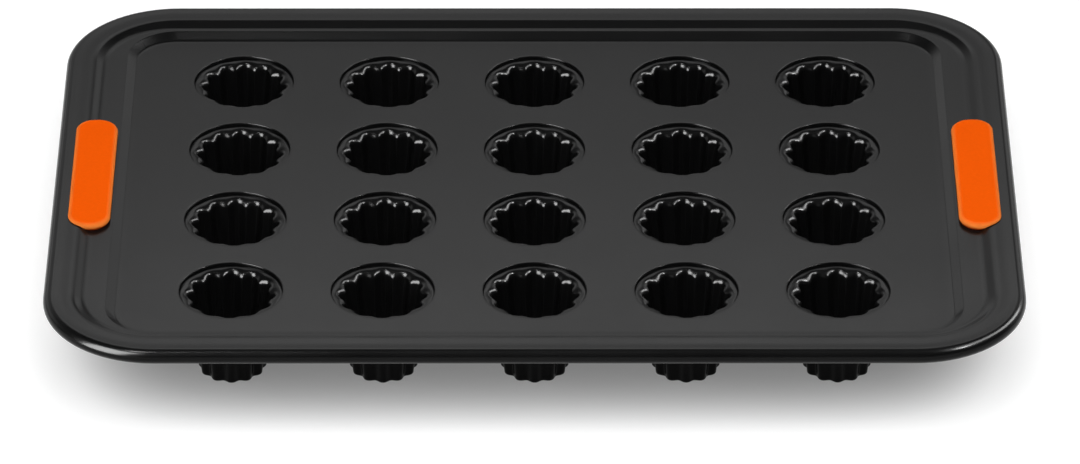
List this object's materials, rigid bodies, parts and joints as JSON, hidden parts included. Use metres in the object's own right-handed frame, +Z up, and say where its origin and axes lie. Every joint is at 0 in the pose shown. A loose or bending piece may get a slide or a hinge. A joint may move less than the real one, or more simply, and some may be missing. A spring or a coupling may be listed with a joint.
{
  "type": "mini canele pan",
  "caption": "Dark coated baking tray with a wired rim, a grid of tapered fluted cups crimped into collared holes, and a silicone grip on each short side.",
  "frame": {"origin": "centre of the outline, on the plane that the cup feet stand on", "axes": "+X along the length from the left grip to the right grip, +Y from the front long side to the back one, +Z up out of the cups"},
  "size_m": [0.4, 0.28, 0.0427],
  "materials": {
    "tray_coating": "satin charcoal non-stick coating on steel sheet",
    "cup_coating": "satin near-black non-stick coating on steel sheet",
    "wire_steel": "plain drawn steel wire",
    "grip_silicone": "matt orange silicone"
  },
  "bodies": {
    "root": {"tray_sheet": "tray_coating", "rim_wire": "wire_steel", "cup_row1_col1": "cup_coating", "cup_row1_col2": "cup_coating", "cup_row1_col3": "cup_coating", "cup_row1_col4": "cup_coating", "cup_row1_col5": "cup_coating", "cup_row2_col1": "cup_coating", "cup_row2_col2": "cup_coating", "cup_row2_col3": "cup_coating", "cup_row2_col4": "cup_coating", "cup_row2_col5": "cup_coating", "cup_row3_col1": "cup_coating", "cup_row3_col2": "cup_coating", "cup_row3_col3": "cup_coating", "cup_row3_col4": "cup_coating", "cup_row3_col5": "cup_coating", "cup_row4_col1": "cup_coating", "cup_row4_col2": "cup_coating", "cup_row4_col3": "cup_coating", "cup_row4_col4": "cup_coating", "cup_row4_col5": "cup_coating", "grip_left": "grip_silicone", "grip_right": "grip_silicone"}
  },
  "joints": []
}
